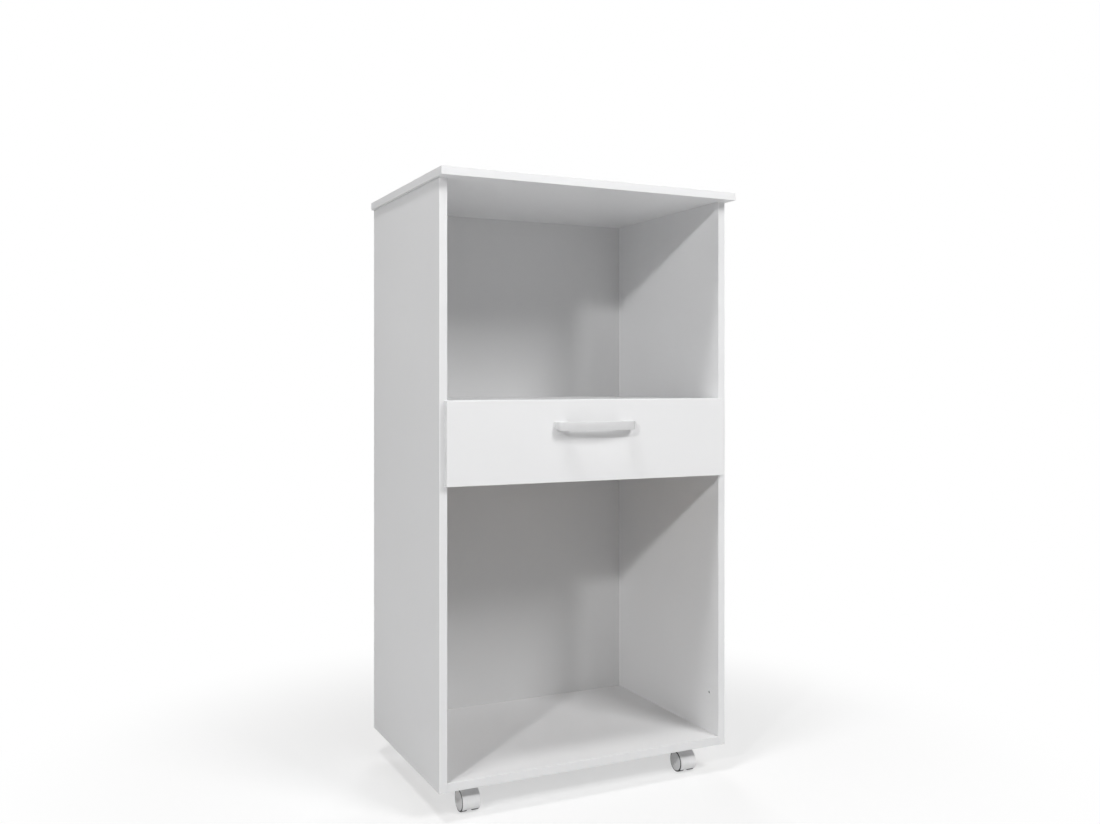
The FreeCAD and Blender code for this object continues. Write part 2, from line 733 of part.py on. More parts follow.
def plate():
    """The square steel plate that is screwed under the bottom panel."""
    half = plate_size / 2
    body = block(-half, half, -half, half, plate_bottom, caster_height)
    corners = [edge for edge in body.Edges if abs(edge.Length - plate_thickness) < same_size]
    body = body.makeFillet(plate_corner, corners)
    hole_radius = caster_screw_radius + plate_hole_clearance
    holes = [
        rod(hole_radius, Vector(x, y, plate_bottom), Vector(x, y, caster_height))
        for x, y in plate_hole_places()
    ]
    return cut_by(body, holes + [kingpin(running_clearance)])


def caster_screw(x, y, grow=0.0):
    """A pan-head screw up through the plate into the bottom panel."""
    seat = Vector(x, y, plate_bottom)
    head = rod(caster_screw_head_radius, seat - Z_AXIS * caster_screw_head_height, seat)
    shaft = rod(caster_screw_radius + grow, seat, seat + Z_AXIS * (caster_screw_length + grow))
    return shaft if grow else joined([head, shaft])


caster_x = carcass_width / 2 - caster_side_inset
caster_places = {
    "front_left": Vector(-caster_x, caster_end_inset, 0),
    "front_right": Vector(caster_x, caster_end_inset, 0),
    "rear_left": Vector(-caster_x, carcass_depth - caster_end_inset, 0),
    "rear_right": Vector(caster_x, carcass_depth - caster_end_inset, 0),
}


# ---- Cabinet ----
def build_cabinet():
    """Boards, back and their fasteners."""
    cam_rows = (cam_from_edge, carcass_depth - cam_from_edge)
    dowel_rows = (dowel_from_edge, carcass_depth - dowel_from_edge)
    screw_rows = (top_screw_from_edge, carcass_depth / 2, carcass_depth - top_screw_from_edge)
    shelf_level = shelf_top - shelf_board / 2
    bottom_level = side_bottom + bottom_board / 2
    shelf_cams, shelf_bolts, shelf_pockets, holes_for_shelf = board_fixings(
        shelf_level, shelf_bottom, cam_rows)
    bottom_cams, bottom_bolts, bottom_pockets, holes_for_bottom = board_fixings(
        bottom_level, side_bottom, cam_rows)
    shelf_dowels, shelf_dowel_holes = side_dowels(shelf_level, dowel_rows)
    bottom_dowels, bottom_dowel_holes = side_dowels(bottom_level, dowel_rows)
    upright_dowels, upright_dowel_holes = top_dowels(cam_rows)
    screws, caps, top_holes = top_fixings(screw_rows)
    nails = [back_nail(x, z) for x, z in nail_places()]
    nail_holes = [back_nail(x, z, hole_clearance) for x, z in nail_places()]

    side = block(-carcass_width / 2, -inner_half, 0, carcass_depth, side_bottom, side_top)
    side = eased(side, edges_on(side, "y", 0, side_board * 2))
    runner_holes = [runner_screw(y, hole_clearance) for y in runner_screw_rows()]
    pin_hole_mouth = Vector(-inner_half, pin_hole_from_front, side_bottom + pin_hole_height)
    pin_hole = rod(pin_hole_radius, pin_hole_mouth - X_AXIS * pin_hole_depth, pin_hole_mouth)
    side_holes = holes_for_shelf + holes_for_bottom + shelf_dowel_holes + bottom_dowel_holes
    side_holes += upright_dowel_holes + top_holes + runner_holes + nail_holes
    side = cut_by(side, side_holes + [pin_hole])
    save("left_side_panel", side)
    save("right_side_panel", mirrored(side))

    half = carcass_width / 2 + top_side_overhang
    top = block(-half, half, -top_front_overhang, carcass_depth, side_top, top_surface)
    top = eased(top, top.Edges)
    save("top_panel", cut_by(top, on_both_sides(upright_dowel_holes + top_holes) + nail_holes))

    bottom = block(-inner_half, inner_half, 0, carcass_depth, side_bottom, side_bottom + bottom_board)
    bottom = eased(bottom, edges_on(bottom, "y", 0, bottom_board * 2))
    caster_holes = [
        moved(caster_screw(x, y, hole_clearance), place)
        for place in caster_places.values() for x, y in plate_hole_places()
    ]
    bottom = cut_by(bottom, on_both_sides(bottom_pockets + bottom_dowel_holes) + caster_holes + nail_holes)
    save("bottom_panel", bottom)

    shelf = block(-inner_half, inner_half, 0, carcass_depth, shelf_bottom, shelf_top)
    shelf = eased(shelf, edges_on(shelf, "y", 0, shelf_board * 2))
    save("microwave_shelf", cut_by(shelf, on_both_sides(shelf_pockets + shelf_dowel_holes) + nail_holes))

    back_half = carcass_width / 2 - back_side_inset
    back_low = side_bottom + back_bottom_inset
    back = block(-back_half, back_half, carcass_depth, back_face, back_low, side_top + back_top_lap)
    save("back_panel", cut_by(back, nail_holes))

    save("back_panel_nails", nails)
    save("top_screws", on_both_sides(screws))
    save("screw_cover_caps", on_both_sides(caps))
    save("shelf_cam_locks", on_both_sides(shelf_cams))
    save("shelf_cam_bolts", on_both_sides(shelf_bolts))
    save("bottom_cam_locks", on_both_sides(bottom_cams))
    save("bottom_cam_bolts", on_both_sides(bottom_bolts))
    save("carcass_dowels", on_both_sides(shelf_dowels + bottom_dowels + upright_dowels))


def build_runners():
    """Both members of both runners, their rollers, pins and screws."""
    cabinet_side = cabinet_runner()
    drawer_side = drawer_runner()
    front_roller = roller(front_roller_y, runner_steel, 1)
    front_pin = roller_pin(front_roller_y, runner_steel, 1)
    rear_roller = roller(rear_roller_y, drawer_web_outer, -1)
    rear_pin = roller_pin(rear_roller_y, drawer_web_outer, -1)
    save("left_cabinet_runner", cabinet_side)
    save("right_cabinet_runner", mirrored(cabinet_side))
    save("left_drawer_runner", drawer_side)
    save("right_drawer_runner", mirrored(drawer_side))
    save("left_cabinet_roller", front_roller)
    save("right_cabinet_roller", mirrored(front_roller))
    save("left_drawer_roller", rear_roller)
    save("right_drawer_roller", mirrored(rear_roller))
    save("cabinet_roller_pins", on_both_sides([front_pin]))
    save("drawer_roller_pins", on_both_sides([rear_pin]))
    save("cabinet_runner_screws", on_both_sides([runner_screw(y) for y in runner_screw_rows()]))
    save("drawer_runner_screws", on_both_sides([drawer_runner_screw(y) for y in runner_screw_rows()]))


def build_drawer():
    """The drawer box, its front and its handle."""
    cams, bolts, side_holes, front_holes = box_cams()
    groove = box_groove()
    front_half = carcass_width / 2 - drawer_front_side_reveal
    handle_rows = [side * handle_hole_spacing / 2 for side in (-1, 1)]
    front = block(-front_half, front_half, front_face, front_back_face, front_bottom, front_top)
    front = eased(front, front.Edges)
    handle_holes = [handle_screw(x, hole_clearance) for x in handle_rows]
    save("drawer_front", cut_by(front, on_both_sides(front_holes) + handle_holes + [groove]))

    side = block(
        -box_outer_half, -box_inner_half, front_back_face, box_back_face, box_bottom, box_bottom + box_height)
    screw_holes = [drawer_runner_screw(y, hole_clearance) for y in runner_screw_rows()]
    pin_hole = rod(
        roller_pin_radius + hole_clearance,
        from_side(runner_side_space - overrun, rear_roller_y, roller_axis),
        from_side(runner_side_space + hole_clearance, rear_roller_y, roller_axis))
    side = cut_by(side, side_holes + box_back_screws(hole_clearance) + screw_holes + [groove, pin_hole])
    save("drawer_left_side", side)
    save("drawer_right_side", mirrored(side))

    back_low = box_bottom + box_groove_height + box_bottom_thickness
    box_top = box_bottom + box_height
    back = block(
        -box_inner_half, box_inner_half, box_back_face - box_board, box_back_face, back_low, box_top)
    back_holes = on_both_sides(box_back_screws(hole_clearance)) + bottom_nails(hole_clearance)
    save("drawer_back", cut_by(back, back_holes))

    reach = box_inner_half + box_groove_depth - groove_clearance
    bottom = block(
        -reach, reach, front_back_face - box_groove_depth + groove_clearance, box_back_face,
        box_bottom + box_groove_height, back_low)
    save("drawer_bottom", cut_by(bottom, bottom_nails(hole_clearance)))

    save("drawer_handle", handle())
    save("handle_screws", [handle_screw(x) for x in handle_rows])
    save("drawer_cam_locks", on_both_sides(cams))
    save("drawer_cam_bolts", on_both_sides(bolts))
    save("drawer_back_screws", on_both_sides(box_back_screws()))
    save("drawer_bottom_nails", bottom_nails())


def build_casters():
    """Four casters, and the screws that hold them."""
    hood_body, axle_pin = hood(), axle()
    left_wheel, right_wheel = wheel(-1), wheel(1)
    mounting_plate = plate()
    for name, place in caster_places.items():
        save(name + "_caster_hood", moved(hood_body, place))
        save(name + "_caster_axle", moved(axle_pin, place))
        save(name + "_caster_wheel_a", moved(left_wheel, place))
        save(name + "_caster_wheel_b", moved(right_wheel, place))
        save(name + "_caster_plate", moved(mounting_plate, place))
    save("caster_kingpins", [moved(kingpin(), place) for place in caster_places.values()])
    save("caster_screws", [
        moved(caster_screw(x, y), place) for place in caster_places.values() for x, y in plate_hole_places()
    ])


os.makedirs("parts", exist_ok=True)
build_cabinet()
build_runners()
build_drawer()
build_casters()
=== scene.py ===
import math

import bmesh
import bpy
from mathutils import Matrix, Vector


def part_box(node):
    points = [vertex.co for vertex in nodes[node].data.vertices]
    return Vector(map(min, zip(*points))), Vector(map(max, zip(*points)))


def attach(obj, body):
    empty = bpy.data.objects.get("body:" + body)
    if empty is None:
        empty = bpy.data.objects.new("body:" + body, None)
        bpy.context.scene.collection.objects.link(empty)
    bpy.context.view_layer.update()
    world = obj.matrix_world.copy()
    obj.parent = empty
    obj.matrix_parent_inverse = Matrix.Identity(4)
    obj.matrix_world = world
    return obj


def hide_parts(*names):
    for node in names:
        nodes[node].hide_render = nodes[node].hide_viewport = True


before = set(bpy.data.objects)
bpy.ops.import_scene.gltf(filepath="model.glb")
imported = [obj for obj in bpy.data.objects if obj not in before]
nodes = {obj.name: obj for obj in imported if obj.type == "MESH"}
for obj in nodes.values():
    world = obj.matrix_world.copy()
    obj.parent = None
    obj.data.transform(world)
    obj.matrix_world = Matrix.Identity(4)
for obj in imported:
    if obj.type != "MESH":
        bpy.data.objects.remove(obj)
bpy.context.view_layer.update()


# ---- Carcass boards ----
# Two side panels, the top, the microwave shelf and a thicker bottom, all chipboard faced with white
# melamine. Thin white bands are glued on the edges that show; the rear edges are left as sawn chipboard.
class Amount:
    """A value that varies over a surface. Arithmetic on it adds Math nodes to its wiring."""

    def __init__(self, wiring, socket):
        self.wiring = wiring
        self.socket = socket

    def math(self, operation, *values):
        return self.wiring.make("ShaderNodeMath", {"operation": operation}, dict(enumerate(values)))

    def __add__(self, other):
        return self.math("ADD", self, other)

    def __sub__(self, other):
        return self.math("SUBTRACT", self, other)

    def __rsub__(self, other):
        return self.math("SUBTRACT", other, self)

    def __mul__(self, other):
        return self.math("MULTIPLY", self, other)

    def __gt__(self, other):
        return self.math("GREATER_THAN", self, other)

    def __lt__(self, other):
        return self.math("LESS_THAN", self, other)

    def larger(self, other):
        return self.math("MAXIMUM", self, other)

    def wave(self, pitch):
        """A sine of this length, in metres."""
        return self.math("SINE", self * (math.tau / pitch))

    __radd__ = __add__
    __rmul__ = __mul__


class Wiring:
    """A node tree, and the one way in which its nodes are made."""

    def __init__(self, tree):
        self.tree = tree

    def make(self, kind, settings=None, sockets=None, output=0):
        """A node of that type, its settings made first, then its sockets fed; gives one output."""
        node = self.tree.nodes.new(kind)
        for name, value in (settings or {}).items():
            if name == "stops":
                for stop, (position, colour) in zip(node.color_ramp.elements, value):
                    stop.position = position
                    stop.color = (*colour, 1)
            else:
                setattr(node, name, value)
        self.feed(node, sockets or {})
        return Amount(self, node.outputs[output])

    def feed(self, node, sockets):
        """Sets or links sockets of a node."""
        for name, value in sockets.items():
            if isinstance(value, Amount):
                self.tree.links.new(value.socket, node.inputs[name])
            else:
                node.inputs[name].default_value = value

    def mix(self, share, first, second):
        """A colour between two others, through the colour sockets of a Mix node."""
        share_in, first_in, second_in, colour_out = 0, 6, 7, 2
        first, second = (value if isinstance(value, Amount) else (*value, 1) for value in (first, second))
        sockets = {share_in: share, first_in: first, second_in: second}
        return self.make("ShaderNodeMix", {"data_type": "RGBA"}, sockets, colour_out)


class Finish(Wiring):
    """One surface finish: a shader with its fixed sockets, and nodes that read Object coordinates."""

    def __init__(self, name, **fixed):
        self.material = bpy.data.materials.new(name)
        self.material.use_nodes = True
        super().__init__(self.material.node_tree)
        self.shader = self.tree.nodes["Principled BSDF"]
        self.place = self.make("ShaderNodeTexCoord", output="Object")
        self.feed(self.shader, {key.replace("_", " "): value for key, value in fixed.items()})

    def axis(self, name):
        """One Object coordinate."""
        return self.make("ShaderNodeSeparateXYZ", None, {0: self.place}, name)

    def noise(self, per_metre, detail=2.0, stretch=(1, 1, 1)):
        """Even noise with that many grains to the metre, drawn out along an axis by stretch."""
        scaled = self.make("ShaderNodeMapping", None, {"Vector": self.place, "Scale": stretch})
        return self.make("ShaderNodeTexNoise", None, {"Vector": scaled, "Scale": per_metre, "Detail": detail})

    def relief(self, height, depth):
        """Bump of that depth in metres."""
        bump = self.make("ShaderNodeBump", None, {"Strength": 1.0, "Distance": depth, "Height": height})
        self.feed(self.shader, {"Normal": bump})


band_thickness = 0.0004
seam_width = 0.00025
seam_grey = (0.36, 0.35, 0.33)
seam_share = 0.3
melamine_white = (0.842, 0.842, 0.848)
melamine_shade = (0.822, 0.824, 0.829)
melamine_specular = 0.45
melamine_roughness = 0.36
cloud_grains = 3.0
cloud_dullness = 0.1
pearl_grains = 1100.0
pearl_dullness = 0.04
pearl_height = 0.12
board_relief = 0.0002
skin = 0.00008
chip_pale = (0.52, 0.40, 0.27)
chip_dark = (0.27, 0.18, 0.10)
chip_stops = ((0.35, chip_dark), (0.62, chip_pale))
chip_grains = 420.0
chip_dullness = 0.45


def board_finish(name, node, bands, sawn=(), white=melamine_white, shade=melamine_shade):
    """Melamine for a board. bands and sawn name its edges as an axis and a side, such as ("Y", -1)."""
    low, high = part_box(node)
    finish = Finish(name, Specular_IOR_Level=melamine_specular)

    def depth(axis, side):
        place = finish.axis(axis)
        index = "XYZ".index(axis)
        return place - low[index] if side < 0 else high[index] - place

    clouds = finish.noise(cloud_grains, detail=3.0)
    colour = finish.mix(clouds, white, shade)
    seams = None
    for axis, side in bands:
        inward = depth(axis, side)
        seam = (inward > band_thickness) * (inward < band_thickness + seam_width)
        seams = seam if seams is None else seams.larger(seam)
    if seams is not None:
        colour = finish.mix(seams * seam_share, colour, seam_grey)
    pearl = finish.noise(pearl_grains)
    roughness = melamine_roughness + clouds * cloud_dullness + pearl * pearl_dullness
    height = pearl * pearl_height
    raw = None
    for axis, side in sawn:
        edge = depth(axis, side) < skin
        raw = edge if raw is None else raw.larger(edge)
    if raw is not None:
        chips = finish.noise(chip_grains, detail=4.0)
        sawdust = finish.make("ShaderNodeValToRGB", {"stops": chip_stops}, {"Fac": chips})
        colour = finish.mix(raw, colour, sawdust)
        roughness = roughness + raw * chip_dullness
        height = height + raw * chips
    finish.feed(finish.shader, {"Base Color": colour, "Roughness": roughness})
    finish.relief(height, board_relief)
    return finish


def dress(finish, *names):
    """Gives CAD pieces a finish."""
    for name in names:
        for material_slot in nodes[name].material_slots:
            material_slot.material = finish.material


side_finish = board_finish("side_melamine", "left_side_panel", [("Y", -1)], [("Y", 1), ("Z", -1)])
top_finish = board_finish("top_melamine", "top_panel", [("Y", -1), ("X", -1), ("X", 1)], [("Y", 1)])
bottom_finish = board_finish("bottom_melamine", "bottom_panel", [("Y", -1)], [("Y", 1)])
shelf_finish = board_finish("shelf_melamine", "microwave_shelf", [("Y", -1)], [("Y", 1)])
dress(side_finish, "left_side_panel", "right_side_panel")
dress(top_finish, "top_panel")
dress(bottom_finish, "bottom_panel")
dress(shelf_finish, "microwave_shelf")


# ---- Back panel ----
# One sheet of 3 mm hardboard nailed on from behind. The side towards the room is lacquered white;
# the rear keeps the brown fibres and the print of the wire screen that it was pressed on.
lacquer_white = (0.75, 0.75, 0.752)
lacquer_shade = (0.73, 0.73, 0.733)
lacquer_grains = 4.0
fibre_dark = (0.24, 0.185, 0.14)
fibre_pale = (0.42, 0.345, 0.275)
fibre_stops = ((0.3, fibre_dark), (0.7, fibre_pale))
fibre_grains = 260.0
lacquer_roughness = 0.42
bare_dullness = 0.42
fibre_dullness = 0.06
screen_pitch = 0.0018
screen_share = 0.3
screen_height = 0.4
fibre_height = 0.6
lacquer_height = 0.05
hardboard_relief = 0.00015


def hardboard_finish(name, axis, side, raw_from):
    """White lacquer on one face of a thin sheet, bare fibre with the screen's print on the rest."""
    finish = Finish(name)
    bare = (finish.axis(axis) - raw_from) * side > 0.0
    clouds = finish.noise(lacquer_grains, detail=3.0)
    fibres = finish.noise(fibre_grains, detail=5.0)
    brown = finish.make("ShaderNodeValToRGB", {"stops": fibre_stops}, {"Fac": fibres})
    first, second = (finish.axis(across).wave(screen_pitch) for across in "XYZ" if across != axis)
    screen = first * second * 0.5 + 0.5
    white = finish.mix(clouds, lacquer_white, lacquer_shade)
    finish.feed(finish.shader, {
        "Base Color": finish.mix(bare, white, finish.mix(screen * screen_share, brown, fibre_dark)),
        "Roughness": lacquer_roughness + bare * bare_dullness + fibres * fibre_dullness,
    })
    height = fibres * (lacquer_height + bare * fibre_height) + bare * screen * screen_height
    finish.relief(height, hardboard_relief)
    return finish


back_finish = hardboard_finish("back_hardboard", "Y", 1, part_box("back_panel")[0].y + skin)
dress(back_finish, "back_panel")


# ---- Carcass fasteners ----
# Zinc-plated nails hold the back. Die-cast cams pull the bolts in the ends of the shelf and the bottom,
# beech dowels keep the boards in line, and screws go down through the top under flush white caps.
metal_grains = 900.0
metal_dullness = 0.16
plastic_tint_grains = 30.0
plastic_dullness = 0.08
fine_relief = 0.00003


def metal_finish(name, bright, dull, roughness):
    """Plated or cast metal with a fine uneven grain."""
    finish = Finish(name, Metallic=1.0)
    grain = finish.noise(metal_grains, detail=3.0)
    finish.feed(finish.shader, {
        "Base Color": finish.mix(grain, bright, dull),
        "Roughness": roughness - metal_dullness / 2 + grain * metal_dullness,
    })
    finish.relief(grain, fine_relief)
    return finish


def plastic_finish(name, colour, shade, roughness, grains=1400.0):
    """Moulded plastic with a faint spark-eroded texture."""
    finish = Finish(name)
    grain = finish.noise(grains)
    finish.feed(finish.shader, {
        "Base Color": finish.mix(finish.noise(plastic_tint_grains), colour, shade),
        "Roughness": roughness - plastic_dullness / 2 + grain * plastic_dullness,
    })
    finish.relief(grain, fine_relief)
    return finish


zinc_finish = metal_finish(
    "zinc_plate", bright=(0.78, 0.79, 0.80), dull=(0.62, 0.63, 0.65), roughness=0.32)
cast_finish = metal_finish(
    "die_cast_zinc", bright=(0.63, 0.63, 0.64), dull=(0.50, 0.50, 0.51), roughness=0.45)
cap_finish = plastic_finish(
    "white_cap", colour=(0.84, 0.84, 0.845), shade=(0.82, 0.82, 0.825), roughness=0.34)

beech_dark = (0.62, 0.45, 0.28)
beech_pale = (0.78, 0.62, 0.43)
beech_grains = 500.0
along_dowel = (0.1, 1, 1)
beech_relief = 0.0001
dowel_finish = Finish("beech_dowel", Roughness=0.7)
dowel_grain = dowel_finish.noise(beech_grains, detail=3.0, stretch=along_dowel)
dowel_finish.feed(dowel_finish.shader, {"Base Color": dowel_finish.mix(dowel_grain, beech_dark, beech_pale)})
dowel_finish.relief(dowel_grain, beech_relief)
dress(zinc_finish, "back_panel_nails", "top_screws", "shelf_cam_bolts", "bottom_cam_bolts")
dress(cast_finish, "shelf_cam_locks", "bottom_cam_locks")
dress(cap_finish, "screw_cover_caps")
dress(dowel_finish, "carcass_dowels")


# ---- Runners ----
# Rolled steel with a white epoxy coat: a channel on each side of the cabinet and an angle under each side
# of the drawer box. Each carries one nylon roller on a riveted pin, and three cross-head screws hold it.
epoxy_white = (0.84, 0.84, 0.82)
epoxy_shade = (0.80, 0.80, 0.785)
epoxy_tint_grains = 12.0
epoxy_peel_grains = 500.0
epoxy_roughness = 0.3
epoxy_dullness = 0.14
epoxy_relief = 0.00008
epoxy_finish = Finish("epoxy_coat")
epoxy_peel = epoxy_finish.noise(epoxy_peel_grains)
epoxy_finish.feed(epoxy_finish.shader, {
    "Base Color": epoxy_finish.mix(epoxy_finish.noise(epoxy_tint_grains), epoxy_white, epoxy_shade),
    "Roughness": epoxy_roughness + epoxy_peel * epoxy_dullness,
})
epoxy_finish.relief(epoxy_peel, epoxy_relief)
nylon_finish = plastic_finish(
    "roller_nylon", colour=(0.82, 0.81, 0.77), shade=(0.78, 0.77, 0.73), roughness=0.4)
for side in ("left", "right"):
    dress(epoxy_finish, side + "_cabinet_runner", side + "_drawer_runner")
    dress(nylon_finish, side + "_cabinet_roller", side + "_drawer_roller")
dress(zinc_finish, "cabinet_roller_pins", "drawer_roller_pins")

doubles = 1e-6
screw_steps = 24
screw_crease = 35

# Proportions of a screw, as shares of its head's radius and height. Those of its point are shares of the
# thread's radius.
cross_reach = 0.6
cross_half_width = 0.22
cross_depth = 0.55
cross_taper = 0.7
pan_shoulder_radius = 0.85
pan_shoulder_height = 0.82
pan_rim_height = 0.5
point_length = 1.6
point_radius = 0.25


def lathe(mesh, profile, steps):
    """Turns a profile of (radius, height) points round the Z axis into a closed skin."""
    points = [mesh.verts.new((radius, 0, height)) for radius, height in profile]
    edges = [mesh.edges.new(pair) for pair in zip(points, points[1:])]
    bmesh.ops.spin(
        mesh, geom=points + edges, cent=(0, 0, 0), axis=(0, 0, 1), angle=math.tau, steps=steps,
        use_merge=True)
    bmesh.ops.remove_doubles(mesh, verts=mesh.verts, dist=doubles)
    bmesh.ops.recalc_face_normals(mesh, faces=mesh.faces)


def soften(mesh, degrees):
    """Smooth shading, with an edge kept sharp where its faces meet at more than that angle."""
    for face in mesh.faces:
        face.smooth = True
    for edge in mesh.edges:
        edge.smooth = edge.calc_face_angle(math.pi) < math.radians(degrees)


def as_data(name, mesh):
    """The bmesh as mesh data."""
    data = bpy.data.meshes.new(name)
    mesh.to_mesh(data)
    mesh.free()
    return data


def piece_from(name, mesh, finishes, material_slot, body, *replaced):
    """A finished piece: it takes its finishes, rides on a body and stands for CAD pieces."""
    data = as_data(name, mesh)
    for finish in finishes:
        data.materials.append(finish.material)
    piece = bpy.data.objects.new(name, data)
    bpy.context.scene.collection.objects.link(piece)
    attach(piece, body)
    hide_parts(*replaced)
    return piece


def screw(head, head_height, thread, length, countersunk):
    """One cross-head screw along -Z. The seat of a pan head, or the top of a sunk one, lies at 0."""
    top = 0.0 if countersunk else head_height
    arm = cross_reach * head
    core = cross_half_width * head
    profile = [(0.0, top), (core, top), (arm, top)]
    if countersunk:
        profile += [(head, top), (thread, -head_height)]
    else:
        profile += [(pan_shoulder_radius * head, pan_shoulder_height * top), (head, pan_rim_height * top)]
        profile += [(head, 0.0), (thread, 0.0)]
    profile += [(thread, point_length * thread - length), (point_radius * thread, -length), (0.0, -length)]
    mesh = bmesh.new()
    lathe(mesh, profile, screw_steps)
    quarter = math.tau / 4
    recess = []
    for face in mesh.faces:
        middle = face.calc_center_median()
        reach = math.hypot(middle.x, middle.y)
        turn = math.atan2(middle.y, middle.x) % quarter
        in_arm = min(turn, quarter - turn) < math.tau / screw_steps
        if middle.z > top - doubles and reach < arm and (in_arm or reach < core):
            recess.append(face)
    sunk = bmesh.ops.extrude_face_region(mesh, geom=recess)["geom"]
    bmesh.ops.delete(mesh, geom=recess, context="FACES_ONLY")
    floor_points = [item for item in sunk if isinstance(item, bmesh.types.BMVert)]
    bmesh.ops.scale(mesh, vec=(cross_taper, cross_taper, 1), verts=floor_points)
    bmesh.ops.translate(mesh, vec=(0, 0, -cross_depth * head_height), verts=floor_points)
    bmesh.ops.recalc_face_normals(mesh, faces=mesh.faces)
    soften(mesh, screw_crease)
    return as_data("screw", mesh)


def screws(name, node, body, one, seats):
    """Copies of one screw that stand for a CAD node's, each at a seat and pointing its way."""
    whole = bmesh.new()
    for seat, way in seats:
        start = len(whole.verts)
        whole.from_mesh(one)
        whole.verts.ensure_lookup_table()
        turned = Vector(way).to_track_quat("-Z", "Y").to_matrix().to_4x4()
        bmesh.ops.transform(whole, matrix=Matrix.Translation(seat) @ turned, verts=whole.verts[start:])
    bpy.data.meshes.remove(one)
    piece_from(name, whole, [zinc_finish], "zinc_fastener", body, node)


def rows(node, head):
    """The front, middle and rear row of a node's screws, by the radius of their heads."""
    low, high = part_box(node)
    return low.y + head, (low.y + high.y) / 2, high.y - head


channel_head = 0.0033
channel_length = 0.013
rail_head = 0.003
rail_head_height = 0.0015
low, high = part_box("cabinet_runner_screws")
channel_screw = screw(
    head=channel_head, head_height=0.00155, thread=0.00175, length=channel_length, countersunk=True)
screws("channel_screws", "cabinet_runner_screws", "cabinet", channel_screw, [
    ((side * (high.x - channel_length), y, (low.z + high.z) / 2), (side, 0, 0))
    for side in (-1, 1) for y in rows("cabinet_runner_screws", channel_head)])
low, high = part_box("drawer_runner_screws")
rail_screw = screw(
    head=rail_head, head_height=rail_head_height, thread=0.0015, length=0.009, countersunk=False)
screws("rail_screws", "drawer_runner_screws", "drawer", rail_screw, [
    ((side * (high.x - rail_head), y, low.z + rail_head_height), (0, 0, 1))
    for side in (-1, 1) for y in rows("drawer_runner_screws", rail_head)])


# ---- Drawer ----
# The front is banded on all four edges and overlaps the side panels. Cams hold it to the two sides of
# the box, a back is screwed between them, and the thin bottom slides into a groove.
front_white = (0.862, 0.862, 0.866)
front_shade = (0.845, 0.846, 0.851)
front_finish = board_finish(
    "front_melamine", "drawer_front", [("X", -1), ("X", 1), ("Z", -1), ("Z", 1)],
    white=front_white, shade=front_shade)
box_side_finish = board_finish("box_side_melamine", "drawer_left_side", [("Z", 1)], [("Y", 1), ("Z", -1)])
box_back_finish = board_finish("box_back_melamine", "drawer_back", [("Z", 1)], [("Z", -1)])
box_bottom_finish = hardboard_finish("box_hardboard", "Z", -1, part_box("drawer_bottom")[1].z - skin)
dress(front_finish, "drawer_front")
dress(box_side_finish, "drawer_left_side", "drawer_right_side")
dress(box_back_finish, "drawer_back")
dress(box_bottom_finish, "drawer_bottom")
dress(cast_finish, "drawer_cam_locks")
dress(zinc_finish, "drawer_cam_bolts", "drawer_bottom_nails")
box_head = 0.0035
low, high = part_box("drawer_back_screws")
box_screw = screw(
    head=box_head, head_height=0.0025, thread=0.00175, length=0.040, countersunk=True)
screws("box_screws", "drawer_back_screws", "drawer", box_screw, [
    ((side * high.x, (low.y + high.y) / 2, z), (-side, 0, 0))
    for side in (-1, 1) for z in (low.z + box_head, high.z - box_head)])


# ---- Handle ----
# A bow handle moulded in one piece with its two feet, every outline lightly rounded, painted satin light
# grey, and held by two machine screws from inside the drawer.
handle_round = 0.0007
handle_flat = 0.5
handle_corner = 40
handle_crease = 45
round_segments = 3
handle_finish = plastic_finish(
    "satin_grey_paint", colour=(0.70, 0.70, 0.705), shade=(0.68, 0.68, 0.685), roughness=0.38, grains=700.0)
front_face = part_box("drawer_front")[0].y
bow = bmesh.new()
bow.from_mesh(nodes["drawer_handle"].data)
bmesh.ops.remove_doubles(bow, verts=bow.verts, dist=doubles)
bmesh.ops.dissolve_limit(
    bow, angle_limit=math.radians(handle_flat), verts=bow.verts, edges=bow.edges)
outlines = [
    edge for edge in bow.edges
    if edge.calc_face_angle(0) > math.radians(handle_corner)
    and max(end.co.y for end in edge.verts) < front_face - skin
]
bmesh.ops.bevel(
    bow, geom=outlines, offset=handle_round, offset_type="OFFSET", segments=round_segments, profile=0.5,
    affect="EDGES", clamp_overlap=True, material=-1)
soften(bow, handle_crease)
piece_from("bow_handle", bow, [handle_finish], "handle_grey", "drawer", "drawer_handle")
machine_head = 0.004
machine_head_height = 0.0022
low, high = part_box("handle_screws")
machine_screw = screw(
    head=machine_head, head_height=machine_head_height, thread=0.002, length=0.021, countersunk=False)
screws("handle_machine_screws", "handle_screws", "drawer", machine_screw, [
    ((side * (high.x - machine_head), high.y - machine_head_height, (low.z + high.z) / 2), (0, -1, 0))
    for side in (-1, 1)])


# ---- Casters ----
# Four swivelling twin-wheel casters: a plated steel plate with its kingpin screwed under the bottom
# panel, a moulded hood that turns on it, and two wheels on one axle, each with a dark soft tread.
hood_finish = plastic_finish(
    "hood_plastic", colour=(0.84, 0.84, 0.845), shade=(0.81, 0.81, 0.815), roughness=0.42)
disc_finish = plastic_finish(
    "wheel_plastic", colour=(0.85, 0.85, 0.855), shade=(0.82, 0.82, 0.825), roughness=0.42)
tread_finish = plastic_finish(
    "tread_rubber", colour=(0.055, 0.055, 0.058), shade=(0.04, 0.04, 0.042), roughness=0.65, grains=500.0)
wheel_steps = 72
wheel_corner = 40
wheel_crease = 38
wheel_face = 0.0179
wheel_inner_face = 0.0056
wheel_dome = 0.0009
dome_reaches = (0.0085, 0.0118, 0.0145)
wheel_cap = 0.0053
wheel_disc = 0.0172
wheel_rim_inside = 0.0168
wheel_hub = 0.005
wheel_web_face = 0.014
